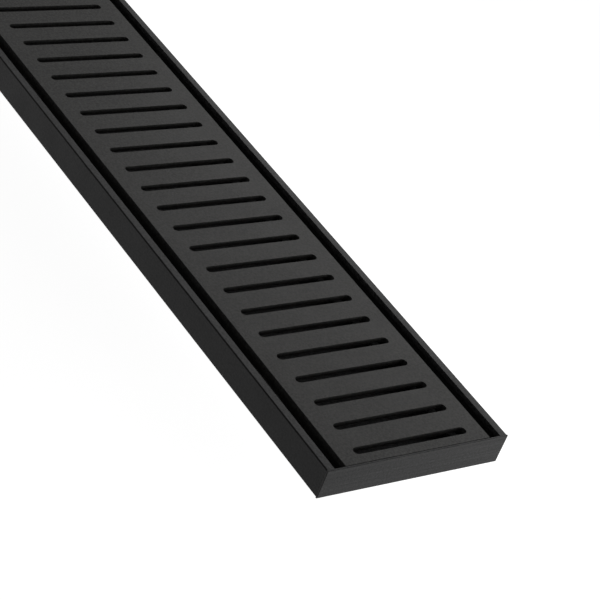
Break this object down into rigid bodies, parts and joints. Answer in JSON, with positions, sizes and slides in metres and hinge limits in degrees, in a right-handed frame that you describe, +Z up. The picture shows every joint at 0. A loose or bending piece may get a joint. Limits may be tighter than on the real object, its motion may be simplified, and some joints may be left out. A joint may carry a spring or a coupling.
{
  "type": "channel drain",
  "caption": "Slim black channel drain with a flush lift-out slotted grate, flat end plates and a round outlet under its floor.",
  "frame": {"origin": "middle of the outlet tail's foot, the lowest face, under the middle of the drain", "axes": "+X along the channel, +Y across it, +Z up through the grate"},
  "size_m": [0.8, 0.1, 0.0604],
  "materials": {
    "channel_metal": "satin black coating, very fine grain",
    "grate_metal": "satin black coating, very fine grain",
    "end_plate_metal": "satin black coating over fine straight grain",
    "outlet_plastic": "moulded, fine matt texture",
    "nut_plastic": "moulded, fine matt texture",
    "washer_rubber": "matt sheet rubber",
    "pad_rubber": "matt moulded rubber",
    "strainer_steel": "pressed stainless steel, lightly brushed"
  },
  "bodies": {
    "root": {"channel": "channel_metal", "slotted_grate": "grate_metal", "end_plate_left": "end_plate_metal", "end_plate_right": "end_plate_metal", "outlet_spigot": "outlet_plastic", "outlet_washer": "washer_rubber", "back_nut": "nut_plastic", "hair_strainer": "strainer_steel", "grate_pad_1": "pad_rubber", "grate_pad_2": "pad_rubber", "grate_pad_3": "pad_rubber", "grate_pad_4": "pad_rubber", "grate_pad_5": "pad_rubber", "grate_pad_6": "pad_rubber", "grate_pad_7": "pad_rubber", "grate_pad_8": "pad_rubber"}
  },
  "joints": []
}
